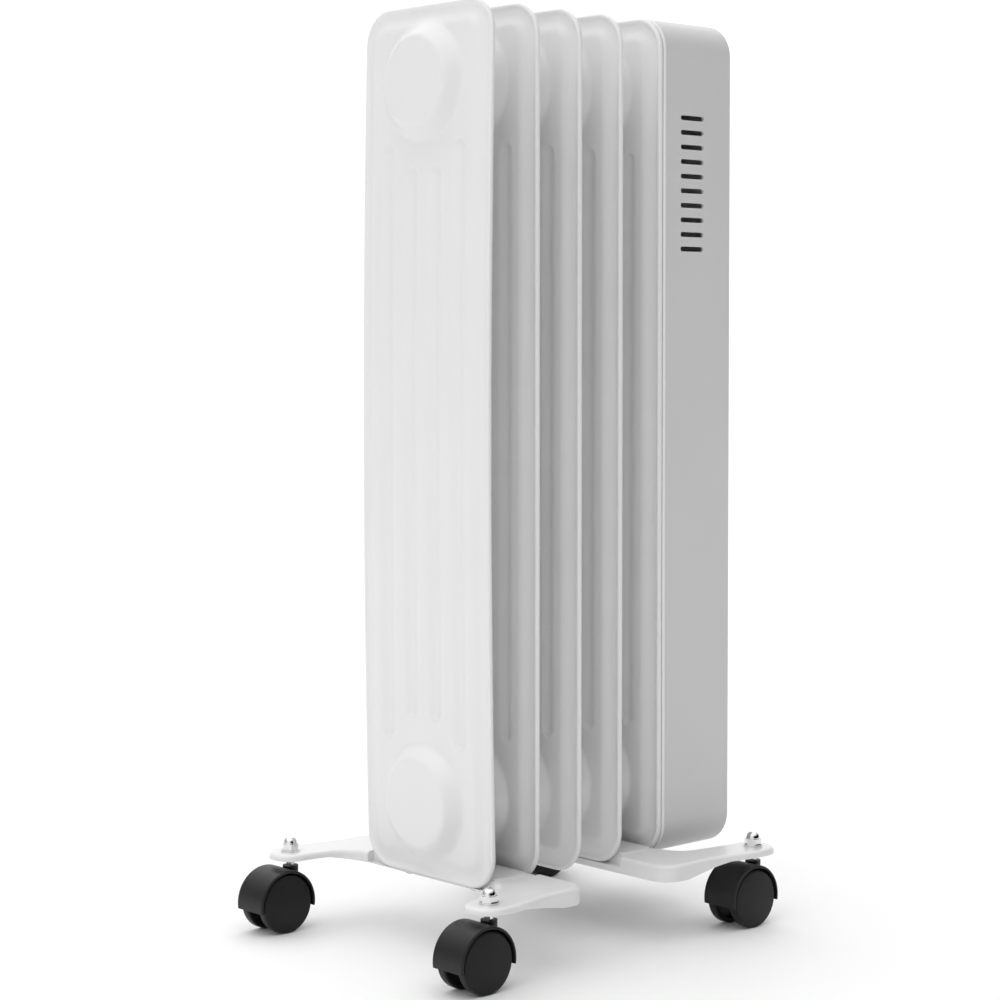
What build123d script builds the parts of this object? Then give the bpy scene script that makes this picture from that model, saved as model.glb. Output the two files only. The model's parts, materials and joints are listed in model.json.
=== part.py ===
from build123d import *
import os
from math import asin, cos, degrees, radians, sin

# Oil filled radiator heater on four casters, in millimetres.
# Origin on the floor under the middle of the heater, +Z up, Y across the fins and
# +X from the end fin to the control housing.

# ---------------------------------------------------------------- fins
FIN_COUNT = 5
FIN_PITCH = 38.5
FIN_HEIGHT = 580.0
FIN_WIDTH = 128.0
FIN_CORNER_R = 23.0
FIN_BOTTOM_Z = 46.0
SHEET = 0.8
RIM_WIDTH = 3.0
RIM_HALF_THICKNESS = 1.8
SEAM_BORDER = 10.0
PANEL_RISE = 4.0
PANEL_TAPER = 30.0
GROOVE_WIDTH = 8.0
GROOVE_PAIRS = ((12.0, 367.0), (36.0, 400.0))  # distance from the middle, length
HUB_FROM_END = 51.0
HUB_BASE_R = 39.0
HUB_FLAT_R = 30.0
END_HUB_RISE = 14.0
OIL_PORT_R = 20.0
FILLER_PORT_R = 8.0

# ---------------------------------------------------------------- control housing
HOUSING_GAP = 2.0
HOUSING_DEPTH = 68.5
HOUSING_WALL = 2.2
HOUSING_EDGE_R = 2.5
VENT_COUNT = 10
VENT_PITCH = 10.05
VENT_LENGTH = 23.2
VENT_HEIGHT = 3.4
VENT_TOP_Z = 512.0  # above the fins' lower ends
VENT_FROM_FRONT = 28.5
INLET_COUNT = 6
INLET_LENGTH = 60.0
INLET_HEIGHT = 4.0
INLET_PITCH = 9.0
INLET_BOTTOM_Z = 84.0  # above the fins' lower ends
BOSS_Y = 44.0
BOSS_FROM_MIDDLE = 262.0
BOSS_R = 4.6
BOSS_BORE_R = 3.3
BOSS_FLOOR = 2.0
SCREW_SHANK_R = 1.5
SCREW_HEAD_R = 3.0
SCREW_HEAD_HEIGHT = 2.2
SCREW_GRIP = 4.0
PLATE_THICKNESS = 1.2
PLATE_INSET = 5.0
PLATE_FLANGE = 8.0
HOUSING_SCREW_GRIP = 3.0

# ---------------------------------------------------------------- controls
PANEL_CENTRE_Z = 455.0  # above the fins' lower ends
PANEL_WIDTH = 92.0
PANEL_HEIGHT = 178.0
PANEL_CORNER_R = 12.0
PANEL_THICKNESS = 2.5
PANEL_SPIGOT = 3.0
PANEL_LAP = 5.0
PANEL_FILLET = 1.2
PANEL_SCREW_OFFSET = 80.0
PANEL_SCREW_HEAD = 1.6
PANEL_SCREW_TAPER = 25.0
DIAL_RING_GAP = 3.0
DIAL_RING_WIDTH = 1.0
DIAL_RING_DEPTH = 0.5
SHAFT_CLEARANCE = 2.0
KNOB_ABOVE_CENTRE = 34.0
KNOB_R = 22.0
KNOB_HEIGHT = 13.0
KNOB_GAP = 0.6
KNOB_SKIRT = 2.0
KNOB_GRIP_R = 19.5
KNOB_FLUTES = 24
KNOB_FLUTE_R = 1.0
KNOB_TAPER = 3.0
KNOB_WALL = 3.0
KNOB_CROWN = 3.0
KNOB_POINTER_R = 13.0
KNOB_POINTER_LENGTH = 10.0
KNOB_POINTER_WIDTH = 2.0
KNOB_POINTER_DEPTH = 0.8
SHAFT_R = 3.0
THERMOSTAT_WIDTH = 30.0
THERMOSTAT_HEIGHT = 34.0
THERMOSTAT_DEPTH = 20.0
THERMOSTAT_CORNER_R = 3.0
THERMOSTAT_FLOOR = 2.0
THERMOSTAT_TABS = ((-9.0, -22.0), (9.0, -22.0))
THERMOSTAT_TAB_LENGTH = 12.0
SHAFT_END_PLAY = 0.5
TAB_WIDTH = 6.3
TAB_THICKNESS = 0.8
SWITCH_BELOW_CENTRE = 46.0
SWITCH_Y = 21.0
SWITCH_WIDTH = 13.0
SWITCH_HEIGHT = 19.4
SWITCH_DEPTH = 18.0
SWITCH_BEZEL = 1.6
SWITCH_BEZEL_LAP = 1.5
SWITCH_BEZEL_FILLET = 0.6
SWITCH_WELL_DEPTH = 6.0
SWITCH_WELL_WALL = 1.3
SWITCH_TAB_PITCH = 6.0
SWITCH_TAB_WIDTH = 4.8
SWITCH_TAB_LENGTH = 8.0
PIN_SOCKET_WALL = 0.4
PIN_END_PLAY = 0.2
ROCKER_WIDTH = 9.8
ROCKER_SIDE_CLEARANCE = 0.4
ROCKER_FACE = 3.9
ROCKER_HOLLOW = 1.0
ROCKER_BACK = -2.2
ROCKER_HEEL = -3.2
ROCKER_TILT = 8.0
ROCKER_PIVOT_DEPTH = 1.0
ROCKER_PIN_R = 1.2
ROCKER_HALF_HEIGHT = 7.5
PILOT_BELOW_CENTRE = 12.0
PILOT_R = 4.0
PILOT_WALL = 1.0
PILOT_RIM_HEIGHT = 1.4
PILOT_RIM_TAPER = 30.0
PILOT_LAMP_R = 2.8
PILOT_LAMP_LENGTH = 15.0
PILOT_LAMP_TAIL = 12.0
PILOT_LAMP_FILLET = 2.4
CORD_INLET_Z = 40.0  # above the fins' lower ends
CORD_BORE_R = 4.1
GLAND_R = 8.0
GLAND_FLANGE_R = 12.0
GLAND_FLANGE = 3.0
GLAND_NOSE = 8.0
GLAND_TAPER = 10.0
GLAND_TAIL = 2.5

# ---------------------------------------------------------------- heating and safety parts
ELEMENT_TUBE_R = 4.0
ELEMENT_SPREAD = 8.0
ELEMENT_PAST_FIRST_FIN = 2.0
ELEMENT_PIN_R = 1.2
ELEMENT_PIN_LENGTH = 6.0
ELEMENT_TAIL = 6.0
GASKET_LAP = 4.0
GASKET_THICKNESS = 1.5
FLANGE_LAP = 5.0
FLANGE_HEX_HEIGHT = 8.0
FLANGE_SPIGOT = 6.0
FLANGE_SPIGOT_GAP = 0.4
PLUG_LAP = 4.0
PLUG_SEAL_THICKNESS = 1.2
PLUG_HEX_HEIGHT = 6.0
PLUG_SHANK = 9.0
CUTOUT_BELOW_HUB = 62.0
CUTOUT_BASE_R = 8.5
CUTOUT_CAP_R = 6.0
CUTOUT_STEP = 4.0
CUTOUT_TAB_LEVEL = 5.0
CUTOUT_TAB_LENGTH = 26.0
CUTOUT_TAB_WIDTH = 5.0
TERMINAL_CENTRE_Z = 130.0  # above the fins' lower ends
TERMINAL_WIDTH = 40.0
TERMINAL_HEIGHT = 18.0
TERMINAL_DEPTH = 14.0
TERMINAL_PITCH = 13.0
TERMINAL_SCREW_R = 2.6
TERMINAL_SCREW_DEPTH = 6.0
TERMINAL_WIRE_R = 2.0
TERMINAL_WIRE_LEVEL = 5.0
TILT_PIVOT_HEIGHT = 222.0  # above the fins' lower ends
TILT_CASE_WIDTH = 40.0
TILT_CASE_HEIGHT = 44.0
TILT_CASE_DEPTH = 18.0
TILT_CASE_WALL = 2.0
TILT_CASE_CORNER_R = 3.0
TILT_CASE_DROP = 13.0
TILT_PIN_R = 1.5
TILT_PIN_SOCKET = 1.0
TILT_PIN_HALF_LENGTH = 7.6
BOB_HUB_R = 3.0
BOB_ARM = 3.0
BOB_ARM_THICKNESS = 2.0
BOB_DROP = 20.0
BOB_R = 6.0
BOB_THICKNESS = 8.0
LEAD_R = 1.1
LEAD_BEND_R = 18.0
LEAD_CLEARANCE = 30.0
LEAD_TAB_GAP = 10.0

# ---------------------------------------------------------------- legs
LEG_TOP = 7.0  # above the fins' lower ends
LEG_RIDGE = 8.0
LEG_BOTTOM = -4.2
LEG_ARM_BOTTOM = 2.6
LEG_SHEET = 1.8
LEG_HALF_LENGTH = 109.0
LEG_EDGE_R = 2.8
LEG_INNER_REACH = 21.25
LEG_MIDDLE_REACH = 20.0
LEG_RIDGE_HALF_WIDTH = 15.5
LEG_NOTCH_HALF_LENGTH = 65.0
LEG_END_R = 14.5
FRONT_BOLT_REACH = 59.25
REAR_BOLT_REACH = 72.75
BOLT_Y = 102.0
U_BOLT_R = 2.5
U_BOLT_CENTRE_R = 33.3
U_BOLT_BELOW_FINS = 7.0
WING_HUB_R = 5.0
WING_HUB_HEIGHT = 6.0
WING_CENTRES = ((-7.5, -2.0), (7.5, -2.0))
WING_LENGTH = 11.0
WING_WIDTH = 6.0
WING_HALF_THICKNESS = 1.2
WING_DROP = 5.0

# ---------------------------------------------------------------- casters
WHEEL_R = 20.0
WHEEL_INNER_FACE = 6.3
WHEEL_OUTER_FACE = 13.4
WHEEL_DOME = 0.9
HOOD_R = 23.0
HOOD_THICKNESS = 1.7
HOOD_HALF_WIDTH = 14.0
HOOD_SKIRT = 3.6
HOOD_WEB_HALF = 5.8
TRAIL = 12.0
NECK_R = 5.35
NECK_TOP_Z = 43.4
STEM_R = 3.0
STEM_BOTTOM_Z = 25.0
AXLE_R = 2.0
AXLE_HALF_LENGTH = 12.6
HOOD_EDGE_R = 1.0
WEB_BOSS_WALL = 4.0
STEM_FOOT_GAP = 0.5
WHEEL_EDGE = 1.0
WHEEL_HUB_R = 5.0
WHEEL_RIM = 3.0
WHEEL_DISC = 2.2
AXLE_END_GAP = 0.2
RUNNING_CLEARANCE = 0.05
WASHER_R = 6.5
WASHER_THICKNESS = 1.4
NUT_ACROSS_FLATS = 10.0
NUT_HEX_HEIGHT = 4.0
NUT_HEIGHT = 9.0
NUT_DOME_R = 4.6
NUT_DOME_START = 4.6
NUT_BORE = 5.5
STEM_END_GAP = 0.5
COLLAR_HEIGHT = 3.0

# ---------------------------------------------------------------- derived places
FRONT_REACH = FRONT_BOLT_REACH - FIN_PITCH / 2 + TRAIL + HOOD_R
BLOCK_LENGTH = (FIN_COUNT - 1) * FIN_PITCH
KNOB_FACE = PANEL_THICKNESS + KNOB_GAP + KNOB_HEIGHT
TOTAL_LENGTH = FRONT_REACH + BLOCK_LENGTH + HOUSING_GAP + HOUSING_DEPTH + KNOB_FACE
FIRST_FIN_X = FRONT_REACH - TOTAL_LENGTH / 2
LAST_FIN_X = FIRST_FIN_X + BLOCK_LENGTH
FIN_MID_Z = FIN_BOTTOM_Z + FIN_HEIGHT / 2
HUB_OFFSET = FIN_HEIGHT / 2 - HUB_FROM_END
LOWER_HUB_Z = FIN_BOTTOM_Z + HUB_FROM_END
UPPER_HUB_Z = FIN_BOTTOM_Z + FIN_HEIGHT - HUB_FROM_END
HOUSING_FRONT_X = LAST_FIN_X + HOUSING_GAP
HOUSING_END_X = HOUSING_FRONT_X + HOUSING_DEPTH
PLATE_X = LAST_FIN_X + END_HUB_RISE
PLATE_BACK_X = PLATE_X + PLATE_THICKNESS
PANEL_FACE_X = HOUSING_END_X + PANEL_THICKNESS
PANEL_BACK_X = HOUSING_END_X - PANEL_SPIGOT
PANEL_Z = FIN_BOTTOM_Z + PANEL_CENTRE_Z
KNOB_Z = PANEL_Z + KNOB_ABOVE_CENTRE
SWITCH_Z = PANEL_Z - SWITCH_BELOW_CENTRE
PILOT_Z = PANEL_Z - PILOT_BELOW_CENTRE
ROCKER_PIVOT_X = PANEL_FACE_X - ROCKER_PIVOT_DEPTH
PANEL_SCREW_OFFSETS = (PANEL_SCREW_OFFSET, -PANEL_SCREW_OFFSET)
INLET_Z = FIN_BOTTOM_Z + CORD_INLET_Z
LEG_TOP_Z = FIN_BOTTOM_Z + LEG_TOP
AXLE_Z = WHEEL_R
FRONT_LEG_X = FIRST_FIN_X + FIN_PITCH / 2
REAR_LEG_X = LAST_FIN_X - FIN_PITCH / 2
FRONT_BOLT_X = FRONT_LEG_X - FRONT_BOLT_REACH
REAR_BOLT_X = REAR_LEG_X + REAR_BOLT_REACH
CASTER_PLACES = {
    "front_left": (FRONT_BOLT_X, BOLT_Y),
    "front_right": (FRONT_BOLT_X, -BOLT_Y),
    "rear_left": (REAR_BOLT_X, BOLT_Y),
    "rear_right": (REAR_BOLT_X, -BOLT_Y),
}
BOLT_PLACES = list(CASTER_PLACES.values())

os.makedirs("parts", exist_ok=True)


def save(part, label):
    """Labels a finished piece and writes its STEP file."""
    part.label = label
    export_step(part, f"parts/{label}.step")


def end_plane(x, y=0.0, z=0.0):
    """A plane square to X: its own x is the row's Y and its own y is the row's Z."""
    return Plane(origin=(x, y, z), x_dir=(0, 1, 0), z_dir=(1, 0, 0))


def side_plane(x, y, z, tilt=0.0):
    """A plane square to Y: its own x is the row's X, turned up by tilt degrees."""
    turn = radians(tilt)
    return Plane(origin=(x, y, z), x_dir=(cos(turn), 0, sin(turn)), z_dir=(0, -1, 0))


def cap_radius(base_r, rise):
    """Radius of the sphere whose cap has this base radius and this rise."""
    return (base_r**2 + rise**2) / (2 * rise)


def fin_outline(inset, mode=Mode.ADD):
    """The outline shared by the fins and the control housing, moved in by inset."""
    RectangleRounded(
        FIN_WIDTH - 2 * inset,
        FIN_HEIGHT - 2 * inset,
        FIN_CORNER_R - inset,
        mode=mode,
    )


# ================================================================ fins
def groove_slots(width):
    """Four upright slots, two each side of the middle, in the current sketch."""
    for distance, length in GROOVE_PAIRS:
        with Locations((-distance, 0), (distance, 0)):
            SlotOverall(length - GROOVE_WIDTH + width, width, rotation=90)


def hub_cone(place, low, high, rise, thinner, mode):
    """One conical hub between two levels above the seam, less a wall where asked."""
    slope = (HUB_BASE_R - HUB_FLAT_R) / (rise - PANEL_RISE)
    low_r = HUB_BASE_R - slope * (low - PANEL_RISE) - thinner
    high_r = HUB_BASE_R - slope * (high - PANEL_RISE) - thinner
    with Locations((0, place, low)):
        Cone(
            low_r,
            high_r,
            high - low,
            align=(Align.CENTER, Align.CENTER, Align.MIN),
            mode=mode,
        )


def fin_shell(label, seam_x, outward, rise, ports):
    """One pressed half of a fin. ports maps a hub's place to the radius of its hole."""
    seam = Plane(origin=(seam_x, 0, FIN_MID_Z), x_dir=(0, outward, 0), z_dir=(outward, 0, 0))
    with BuildPart(seam) as shell:
        with BuildSketch(seam):
            fin_outline(0)
        extrude(amount=SHEET)
        with BuildSketch(seam):
            fin_outline(0)
            fin_outline(RIM_WIDTH, mode=Mode.SUBTRACT)
        extrude(amount=RIM_HALF_THICKNESS)
        with BuildSketch(seam):
            fin_outline(SEAM_BORDER)
        extrude(amount=PANEL_RISE, taper=PANEL_TAPER)
        for place in (HUB_OFFSET, -HUB_OFFSET):
            hub_cone(place, PANEL_RISE - SHEET, rise, rise, 0, Mode.ADD)
        with BuildSketch(seam):
            fin_outline(SEAM_BORDER + SHEET)
        extrude(amount=PANEL_RISE - SHEET, taper=PANEL_TAPER, mode=Mode.SUBTRACT)
        for place in (HUB_OFFSET, -HUB_OFFSET):
            hub_cone(place, PANEL_RISE - 2 * SHEET, rise - SHEET, rise, SHEET, Mode.SUBTRACT)
        with BuildSketch(seam):
            groove_slots(GROOVE_WIDTH)
        extrude(amount=PANEL_RISE)
        with BuildSketch(seam.offset(SHEET)):
            groove_slots(GROOVE_WIDTH - 2 * SHEET)
        extrude(amount=PANEL_RISE, mode=Mode.SUBTRACT)
        for place, radius in ports.items():
            with BuildSketch(seam.offset(rise - 2 * SHEET)):
                with Locations((0, place)):
                    Circle(radius)
            extrude(amount=3 * SHEET, mode=Mode.SUBTRACT)
    save(shell.part, label)


through_ports = {HUB_OFFSET: OIL_PORT_R, -HUB_OFFSET: OIL_PORT_R}
for number in range(1, FIN_COUNT + 1):
    seam_x = FIRST_FIN_X + (number - 1) * FIN_PITCH
    if number == 1:
        fin_shell("fin_1_front_shell", seam_x, -1, END_HUB_RISE, {})
    else:
        fin_shell(f"fin_{number}_front_shell", seam_x, -1, FIN_PITCH / 2, through_ports)
    if number == FIN_COUNT:
        outer_ports = {HUB_OFFSET: FILLER_PORT_R, -HUB_OFFSET: OIL_PORT_R}
        fin_shell(f"fin_{number}_rear_shell", seam_x, 1, END_HUB_RISE, outer_ports)
    else:
        fin_shell(f"fin_{number}_rear_shell", seam_x, 1, FIN_PITCH / 2, through_ports)

# ================================================================ housing and chassis
BOSS_PLACES = [
    (y, FIN_MID_Z + z)
    for y in (-BOSS_Y, BOSS_Y)
    for z in (-BOSS_FROM_MIDDLE, BOSS_FROM_MIDDLE)
]

# Pressed plate clamped on the last fin's hubs; it carries the electrical parts.
plate_front = end_plane(PLATE_X, 0, FIN_MID_Z)
with BuildPart() as mounting_plate:
    with BuildSketch(plate_front):
        fin_outline(PLATE_INSET)
    extrude(amount=PLATE_THICKNESS)
    with BuildSketch(plate_front):
        fin_outline(PLATE_INSET)
        fin_outline(PLATE_INSET + PLATE_THICKNESS, mode=Mode.SUBTRACT)
    extrude(amount=PLATE_FLANGE)
    with BuildSketch(plate_front):
        with Locations((0, HUB_OFFSET)):
            Circle(FILLER_PORT_R)
        with Locations((0, -HUB_OFFSET)):
            Circle(OIL_PORT_R)
        with Locations(*[(y, z - FIN_MID_Z) for y, z in BOSS_PLACES]):
            Circle(SCREW_SHANK_R)
    extrude(amount=PLATE_THICKNESS, mode=Mode.SUBTRACT)
save(mounting_plate.part, "mounting_plate")

# Deep cover over the electrical parts, open towards the fins.
housing_front = end_plane(HOUSING_FRONT_X, 0, FIN_MID_Z)
housing_end = end_plane(HOUSING_END_X, 0, FIN_MID_Z)
with BuildPart() as control_housing:
    with BuildSketch(housing_front):
        fin_outline(0)
    extrude(amount=HOUSING_DEPTH)
    fillet(control_housing.edges().group_by(Axis.X)[-1], HOUSING_EDGE_R)
    fillet(control_housing.edges().group_by(Axis.X)[0], HOUSING_WALL / 2)
    with BuildSketch(housing_front):
        fin_outline(HOUSING_WALL)
    extrude(amount=HOUSING_DEPTH - HOUSING_WALL, mode=Mode.SUBTRACT)
    for y, z in BOSS_PLACES:
        with BuildSketch(end_plane(PLATE_BACK_X, y, z)):
            Circle(BOSS_R)
        extrude(amount=HOUSING_END_X - HOUSING_WALL / 2 - PLATE_BACK_X)
        with BuildSketch(end_plane(PLATE_BACK_X + BOSS_FLOOR, y, z)):
            Circle(BOSS_BORE_R)
        extrude(amount=HOUSING_DEPTH, mode=Mode.SUBTRACT)
        with BuildSketch(end_plane(PLATE_BACK_X, y, z)):
            Circle(SCREW_SHANK_R)
        extrude(amount=BOSS_FLOOR, mode=Mode.SUBTRACT)
    vent_x = HOUSING_FRONT_X + VENT_FROM_FRONT
    vent_z = FIN_BOTTOM_Z + VENT_TOP_Z - (VENT_COUNT - 1) * VENT_PITCH / 2
    with BuildSketch(side_plane(vent_x, 0, vent_z)):
        with GridLocations(1, VENT_PITCH, 1, VENT_COUNT):
            SlotOverall(VENT_LENGTH, VENT_HEIGHT)
    extrude(amount=FIN_WIDTH, both=True, mode=Mode.SUBTRACT)
    inlet_z = FIN_BOTTOM_Z + INLET_BOTTOM_Z + (INLET_COUNT - 1) * INLET_PITCH / 2
    with BuildSketch(end_plane(HOUSING_END_X, 0, inlet_z)):
        with GridLocations(1, INLET_PITCH, 1, INLET_COUNT):
            SlotOverall(INLET_LENGTH, INLET_HEIGHT)
    extrude(amount=-2 * HOUSING_WALL, mode=Mode.SUBTRACT)
    with BuildSketch(end_plane(HOUSING_END_X, 0, PANEL_Z)):
        RectangleRounded(
            PANEL_WIDTH - 2 * PANEL_LAP,
            PANEL_HEIGHT - 2 * PANEL_LAP,
            PANEL_CORNER_R - PANEL_LAP,
        )
    extrude(amount=-2 * HOUSING_WALL, mode=Mode.SUBTRACT)
    with BuildSketch(end_plane(HOUSING_END_X, 0, INLET_Z)):
        Circle(GLAND_R)
    extrude(amount=-2 * HOUSING_WALL, mode=Mode.SUBTRACT)
save(control_housing.part, "control_housing")

# Four screws deep in the housing's bosses, into the mounting plate.
with BuildPart() as housing_screws:
    for y, z in BOSS_PLACES:
        with BuildSketch(end_plane(PLATE_BACK_X + BOSS_FLOOR, y, z)):
            Circle(SCREW_HEAD_R)
        extrude(amount=SCREW_HEAD_HEIGHT)
        with BuildSketch(end_plane(PLATE_X - HOUSING_SCREW_GRIP, y, z)):
            Circle(SCREW_SHANK_R)
        extrude(amount=HOUSING_SCREW_GRIP + PLATE_THICKNESS + BOSS_FLOOR)
save(housing_screws.part, "housing_screws")

# Bushing that lines the supply cord's hole.
with BuildPart() as cord_gland:
    with BuildSketch(end_plane(HOUSING_END_X, 0, INLET_Z)):
        Circle(GLAND_FLANGE_R)
    extrude(amount=GLAND_FLANGE)
    with BuildSketch(end_plane(HOUSING_END_X + GLAND_FLANGE, 0, INLET_Z)):
        Circle(GLAND_R)
    extrude(amount=GLAND_NOSE - GLAND_FLANGE, taper=GLAND_TAPER)
    with BuildSketch(end_plane(HOUSING_END_X, 0, INLET_Z)):
        Circle(GLAND_R)
    extrude(amount=-HOUSING_WALL - GLAND_TAIL)
    with BuildSketch(end_plane(HOUSING_END_X + GLAND_NOSE, 0, INLET_Z)):
        Circle(CORD_BORE_R)
    extrude(amount=-GLAND_NOSE - HOUSING_WALL - GLAND_TAIL, mode=Mode.SUBTRACT)
save(cord_gland.part, "cord_gland")

# ================================================================ controls
panel_face = end_plane(PANEL_FACE_X, 0, PANEL_Z)
with BuildPart() as control_panel:
    with BuildSketch(end_plane(HOUSING_END_X, 0, PANEL_Z)):
        RectangleRounded(PANEL_WIDTH, PANEL_HEIGHT, PANEL_CORNER_R)
    extrude(amount=PANEL_THICKNESS)
    fillet(control_panel.edges().group_by(Axis.X)[-1], PANEL_FILLET)
    with BuildSketch(end_plane(PANEL_BACK_X, 0, PANEL_Z)):
        RectangleRounded(
            PANEL_WIDTH - 2 * PANEL_LAP,
            PANEL_HEIGHT - 2 * PANEL_LAP,
            PANEL_CORNER_R - PANEL_LAP,
        )
    extrude(amount=PANEL_SPIGOT)
    with BuildSketch(panel_face):
        with Locations((0, KNOB_ABOVE_CENTRE)):
            Circle(KNOB_R + DIAL_RING_GAP + DIAL_RING_WIDTH)
            Circle(KNOB_R + DIAL_RING_GAP, mode=Mode.SUBTRACT)
    extrude(amount=-DIAL_RING_DEPTH, mode=Mode.SUBTRACT)
    with BuildSketch(panel_face):
        with Locations((0, KNOB_ABOVE_CENTRE)):
            Circle(SHAFT_R + SHAFT_CLEARANCE)
        with Locations((0, -PILOT_BELOW_CENTRE)):
            Circle(PILOT_R)
        with Locations((-SWITCH_Y, -SWITCH_BELOW_CENTRE), (SWITCH_Y, -SWITCH_BELOW_CENTRE)):
            Rectangle(SWITCH_WIDTH, SWITCH_HEIGHT)
        with Locations(*[(0, z) for z in PANEL_SCREW_OFFSETS]):
            Circle(SCREW_SHANK_R)
    extrude(amount=-PANEL_THICKNESS - PANEL_SPIGOT, mode=Mode.SUBTRACT)
save(control_panel.part, "control_panel")

with BuildPart() as panel_screws:
    for z in PANEL_SCREW_OFFSETS:
        with BuildSketch(end_plane(PANEL_FACE_X, 0, PANEL_Z + z)):
            Circle(SCREW_HEAD_R)
        extrude(amount=PANEL_SCREW_HEAD, taper=PANEL_SCREW_TAPER)
        with BuildSketch(end_plane(PANEL_FACE_X, 0, PANEL_Z + z)):
            Circle(SCREW_SHANK_R)
        extrude(amount=-PANEL_THICKNESS - PANEL_SPIGOT - SCREW_GRIP)
save(panel_screws.part, "panel_screws")

knob_back_x = PANEL_FACE_X + KNOB_GAP
with BuildPart() as thermostat_knob:
    with BuildSketch(end_plane(knob_back_x, 0, KNOB_Z)):
        Circle(KNOB_R)
    extrude(amount=KNOB_SKIRT)
    with BuildSketch(end_plane(knob_back_x + KNOB_SKIRT, 0, KNOB_Z)):
        Circle(KNOB_GRIP_R)
        with PolarLocations(KNOB_GRIP_R, KNOB_FLUTES):
            Circle(KNOB_FLUTE_R, mode=Mode.SUBTRACT)
    extrude(amount=KNOB_HEIGHT - KNOB_SKIRT, taper=KNOB_TAPER)
    with BuildSketch(end_plane(knob_back_x + KNOB_HEIGHT, 0, KNOB_Z)):
        with Locations((0, KNOB_POINTER_R)):
            SlotOverall(KNOB_POINTER_LENGTH, KNOB_POINTER_WIDTH, rotation=90)
    extrude(amount=-KNOB_POINTER_DEPTH, mode=Mode.SUBTRACT)
    with BuildSketch(end_plane(knob_back_x, 0, KNOB_Z)):
        Circle(KNOB_GRIP_R - KNOB_WALL)
        Circle(SHAFT_R + KNOB_WALL, mode=Mode.SUBTRACT)
        Circle(SHAFT_R)
    extrude(amount=KNOB_HEIGHT - KNOB_CROWN, mode=Mode.SUBTRACT)
save(thermostat_knob.part, "thermostat_knob")

thermostat_back_x = PANEL_BACK_X - THERMOSTAT_DEPTH
shaft_back_x = thermostat_back_x + THERMOSTAT_FLOOR + SHAFT_END_PLAY
shaft_front_x = knob_back_x + KNOB_HEIGHT - KNOB_CROWN
with BuildPart() as thermostat_body:
    with BuildSketch(end_plane(PANEL_BACK_X, 0, KNOB_Z)):
        RectangleRounded(THERMOSTAT_WIDTH, THERMOSTAT_HEIGHT, THERMOSTAT_CORNER_R)
    extrude(amount=-THERMOSTAT_DEPTH)
    with BuildSketch(end_plane(thermostat_back_x, 0, KNOB_Z)):
        with Locations(*THERMOSTAT_TABS):
            Rectangle(TAB_WIDTH, THERMOSTAT_TAB_LENGTH)
    extrude(amount=TAB_THICKNESS)
    with BuildSketch(end_plane(PANEL_BACK_X, 0, KNOB_Z)):
        Circle(SHAFT_R + RUNNING_CLEARANCE)
    extrude(amount=THERMOSTAT_FLOOR - THERMOSTAT_DEPTH, mode=Mode.SUBTRACT)
save(thermostat_body.part, "thermostat_body")

with BuildPart() as thermostat_shaft:
    with BuildSketch(end_plane(shaft_back_x, 0, KNOB_Z)):
        Circle(SHAFT_R)
    extrude(amount=shaft_front_x - shaft_back_x)
save(thermostat_shaft.part, "thermostat_shaft")

for name, y in (("low", -SWITCH_Y), ("high", SWITCH_Y)):
    switch_face = end_plane(PANEL_FACE_X, y, SWITCH_Z)
    with BuildPart() as switch_body:
        with BuildSketch(switch_face):
            RectangleRounded(
                SWITCH_WIDTH + 2 * SWITCH_BEZEL_LAP,
                SWITCH_HEIGHT + 2 * SWITCH_BEZEL_LAP,
                SWITCH_BEZEL_LAP,
            )
        extrude(amount=SWITCH_BEZEL)
        fillet(switch_body.edges().group_by(Axis.X)[-1], SWITCH_BEZEL_FILLET)
        with BuildSketch(switch_face):
            Rectangle(SWITCH_WIDTH, SWITCH_HEIGHT)
        extrude(amount=-SWITCH_DEPTH)
        with BuildSketch(end_plane(PANEL_FACE_X + SWITCH_BEZEL, y, SWITCH_Z)):
            Rectangle(
                ROCKER_WIDTH + 2 * ROCKER_SIDE_CLEARANCE,
                SWITCH_HEIGHT - 2 * SWITCH_WELL_WALL,
            )
        extrude(amount=-SWITCH_BEZEL - SWITCH_WELL_DEPTH, mode=Mode.SUBTRACT)
        with BuildSketch(side_plane(ROCKER_PIVOT_X, y, SWITCH_Z)):
            Circle(ROCKER_PIN_R + RUNNING_CLEARANCE)
        extrude(amount=SWITCH_WIDTH / 2 - PIN_SOCKET_WALL, both=True, mode=Mode.SUBTRACT)
        with BuildSketch(end_plane(PANEL_FACE_X - SWITCH_DEPTH, y, SWITCH_Z)):
            with GridLocations(1, SWITCH_TAB_PITCH, 1, 3):
                Rectangle(SWITCH_TAB_WIDTH, TAB_THICKNESS)
        extrude(amount=-SWITCH_TAB_LENGTH)
    save(switch_body.part, f"switch_{name}_body")

    with BuildPart() as rocker:
        with BuildSketch(side_plane(ROCKER_PIVOT_X, y, SWITCH_Z, ROCKER_TILT)):
            with BuildLine():
                ThreePointArc(
                    (ROCKER_FACE, -ROCKER_HALF_HEIGHT),
                    (ROCKER_FACE - ROCKER_HOLLOW, 0),
                    (ROCKER_FACE, ROCKER_HALF_HEIGHT),
                )
                Polyline(
                    (ROCKER_FACE, ROCKER_HALF_HEIGHT),
                    (ROCKER_BACK, ROCKER_HALF_HEIGHT),
                    (ROCKER_HEEL, 0),
                    (ROCKER_BACK, -ROCKER_HALF_HEIGHT),
                    (ROCKER_FACE, -ROCKER_HALF_HEIGHT),
                )
            make_face()
        extrude(amount=ROCKER_WIDTH / 2, both=True)
        with BuildSketch(side_plane(ROCKER_PIVOT_X, y, SWITCH_Z)):
            Circle(ROCKER_PIN_R)
        extrude(amount=SWITCH_WIDTH / 2 - PIN_SOCKET_WALL - PIN_END_PLAY, both=True)
    save(rocker.part, f"switch_{name}_rocker")

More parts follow.
